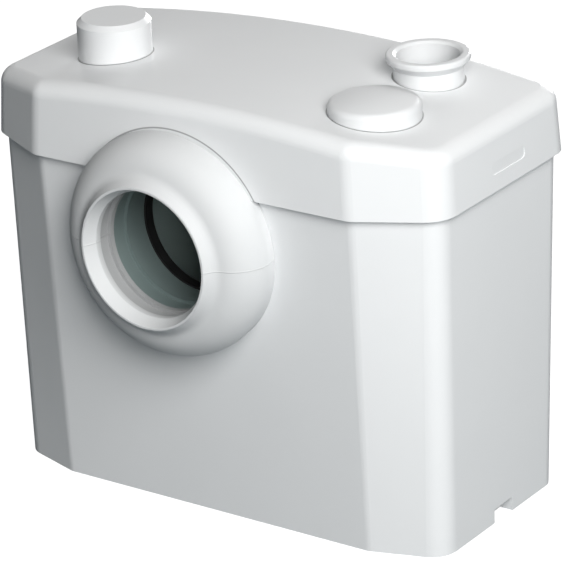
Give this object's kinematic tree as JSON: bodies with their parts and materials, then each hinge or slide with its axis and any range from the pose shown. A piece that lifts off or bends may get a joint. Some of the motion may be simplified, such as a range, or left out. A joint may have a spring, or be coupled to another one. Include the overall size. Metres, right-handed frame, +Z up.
{
  "type": "macerator toilet pump",
  "caption": "Macerator toilet pump: white tapered tank with arched lid, domed rubber inlet collar, flared discharge collar, capped spare inlet and vent; motor, cutter, pump and valve inside",
  "frame": {"origin": "middle of the tank's underside, on the floor", "axes": "+X along the pump's length, to the right seen from the toilet, -Y out of the toilet inlet, +Z up"},
  "size_m": [0.33, 0.2104, 0.2888],
  "materials": {
    "white_plastic": "satin",
    "white_rubber": "satin",
    "green_grey_plastic": "satin",
    "black_rubber": "matte",
    "dark_green_plastic": "matte",
    "grey_plastic": "satin",
    "motor_enamel": "satin",
    "core_steel": "matte",
    "copper": "gloss",
    "stainless": "brushed",
    "brass": "satin",
    "black_plastic": "satin",
    "pale_plastic": "satin",
    "spring_steel": "satin",
    "filter_foam": "matte"
  },
  "bodies": {
    "base": {"tank": "white_plastic", "anti_vibration_pads": "black_rubber", "lid_seal": "black_rubber", "inlet_sleeve": "white_rubber", "inlet_pipe": "green_grey_plastic", "inlet_lip_seal": "black_rubber", "motor_deck": "grey_plastic", "motor_housing": "motor_enamel", "motor_cover": "motor_enamel", "motor_screws": "stainless", "stator": "core_steel", "windings": "copper", "upper_bearing": "stainless", "lower_bearing": "stainless", "shaft_seal": "black_rubber", "basket": "dark_green_plastic", "volute": "grey_plastic", "volute_cover": "grey_plastic", "valve_body": "grey_plastic", "flap_pin": "stainless", "discharge_riser": "grey_plastic", "dip_tube": "grey_plastic", "pressure_chamber": "grey_plastic", "diaphragm": "black_rubber", "switch_cover": "grey_plastic", "microswitch": "black_plastic", "capacitor": "pale_plastic", "capacitor_clip": "spring_steel", "terminal_block": "pale_plastic"},
    "rotor": {"shaft": "stainless", "rotor_core": "core_steel", "blade_hub": "brass", "macerator_blade": "stainless", "blade_nut": "stainless", "impeller": "black_plastic", "impeller_nut": "stainless"},
    "flap": {"valve_flap": "black_rubber"},
    "plunger": {"switch_plunger": "black_plastic"},
    "cover": {"lid": "white_plastic", "discharge_collar": "white_plastic", "riser_seal": "black_rubber", "carbon_filter": "filter_foam", "cable_gland": "black_plastic", "gland_nut": "black_plastic"},
    "spare_inlet_cap": {"inlet_cap": "white_plastic"},
    "air_vent_cap": {"vent_cap": "white_plastic"}
  },
  "joints": [
    {"name": "rotor_spin", "type": "hinge", "parent": "base", "child": "rotor", "pos_m": [0.05, -0.01, 0.1], "axis": [0, 0, 1], "continuous": true},
    {"name": "flap_swing", "type": "hinge", "parent": "base", "child": "flap", "pos_m": [0.0864, 0.0345, 0.0465], "axis": [0, -1, 0], "range_deg": [0, 60]},
    {"name": "plunger_slide", "type": "slide", "parent": "base", "child": "plunger", "axis": [0, 0, 1], "range_m": [0, 0.0015]},
    {"name": "cover_lift", "type": "slide", "parent": "base", "child": "cover", "axis": [0, 0, 1], "range_m": [0, 0.08]},
    {"name": "spare_inlet_cap_pull", "type": "slide", "parent": "cover", "child": "spare_inlet_cap", "axis": [0, 0, 1], "range_m": [0, 0.04]},
    {"name": "air_vent_cap_pull", "type": "slide", "parent": "cover", "child": "air_vent_cap", "axis": [0, 0, 1], "range_m": [0, 0.03]}
  ]
}
